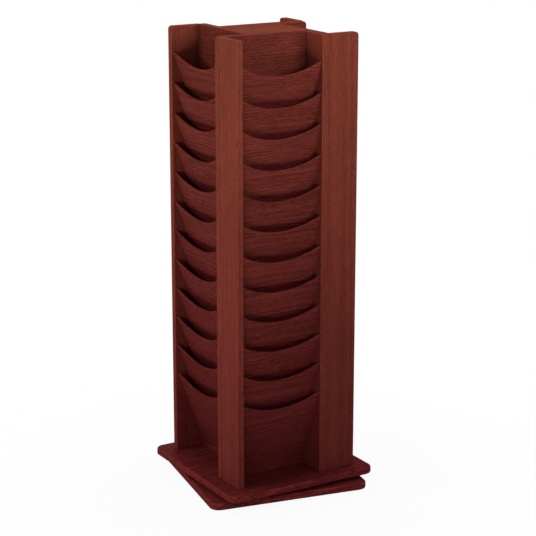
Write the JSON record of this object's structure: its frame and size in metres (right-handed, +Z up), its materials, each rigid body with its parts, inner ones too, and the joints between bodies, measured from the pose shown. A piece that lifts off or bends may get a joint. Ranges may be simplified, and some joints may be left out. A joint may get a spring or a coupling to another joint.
{
  "type": "revolving periodical display rack",
  "caption": "Floor-standing revolving rack for periodicals: tall wooden racks of leaning, scooped pockets set in a pinwheel on a square turntable over a square base board.",
  "frame": {"origin": "centre of the base board's underside, on the floor", "axes": "+Z up along the axis that the tower turns on; the front rack faces -Y"},
  "size_m": [0.5236, 0.5236, 1.2651],
  "materials": {
    "stained_boards": "red-brown mahogany stain under satin lacquer on solid boards",
    "stained_panels": "red-brown mahogany stain under satin lacquer on thin panels",
    "bearing_steel": "zinc-plated pressed steel"
  },
  "bodies": {
    "base": {"base_board": "stained_boards", "bearing_lower_plate": "bearing_steel"},
    "ball_cage": {"bearing_ball_cage": "bearing_steel"},
    "tower": {"bearing_upper_plate": "bearing_steel", "turntable_board": "stained_boards", "tower_lid": "stained_boards", "front_rack_left_side": "stained_boards", "front_rack_right_side": "stained_boards", "front_rack_back_panel": "stained_panels", "front_rack_pocket_01": "stained_panels", "front_rack_pocket_02": "stained_panels", "front_rack_pocket_03": "stained_panels", "front_rack_pocket_04": "stained_panels", "front_rack_pocket_05": "stained_panels", "front_rack_pocket_06": "stained_panels", "front_rack_pocket_07": "stained_panels", "front_rack_pocket_08": "stained_panels", "front_rack_pocket_09": "stained_panels", "front_rack_pocket_10": "stained_panels", "right_rack_left_side": "stained_boards", "right_rack_right_side": "stained_boards", "right_rack_back_panel": "stained_panels", "right_rack_pocket_01": "stained_panels", "right_rack_pocket_02": "stained_panels", "right_rack_pocket_03": "stained_panels", "right_rack_pocket_04": "stained_panels", "right_rack_pocket_05": "stained_panels", "right_rack_pocket_06": "stained_panels", "right_rack_pocket_07": "stained_panels", "right_rack_pocket_08": "stained_panels", "right_rack_pocket_09": "stained_panels", "right_rack_pocket_10": "stained_panels", "rear_rack_left_side": "stained_boards", "rear_rack_right_side": "stained_boards", "rear_rack_back_panel": "stained_panels", "rear_rack_pocket_01": "stained_panels", "rear_rack_pocket_02": "stained_panels", "rear_rack_pocket_03": "stained_panels", "rear_rack_pocket_04": "stained_panels", "rear_rack_pocket_05": "stained_panels", "rear_rack_pocket_06": "stained_panels", "rear_rack_pocket_07": "stained_panels", "rear_rack_pocket_08": "stained_panels", "rear_rack_pocket_09": "stained_panels", "rear_rack_pocket_10": "stained_panels", "left_rack_left_side": "stained_boards", "left_rack_right_side": "stained_boards", "left_rack_back_panel": "stained_panels", "left_rack_pocket_01": "stained_panels", "left_rack_pocket_02": "stained_panels", "left_rack_pocket_03": "stained_panels", "left_rack_pocket_04": "stained_panels", "left_rack_pocket_05": "stained_panels", "left_rack_pocket_06": "stained_panels", "left_rack_pocket_07": "stained_panels", "left_rack_pocket_08": "stained_panels", "left_rack_pocket_09": "stained_panels", "left_rack_pocket_10": "stained_panels"}
  },
  "joints": [
    {"name": "turntable_spin", "type": "hinge", "parent": "base", "child": "tower", "pos_m": [0, 0, 0.023], "axis": [0, 0, 1], "continuous": true},
    {"name": "ball_cage_spin", "type": "hinge", "parent": "base", "child": "ball_cage", "pos_m": [0, 0, 0.023], "axis": [0, 0, 1], "continuous": true}
  ],
  "couplings": [
    {"joint": "ball_cage_spin", "follows": "turntable_spin", "ratio": 0.5}
  ]
}
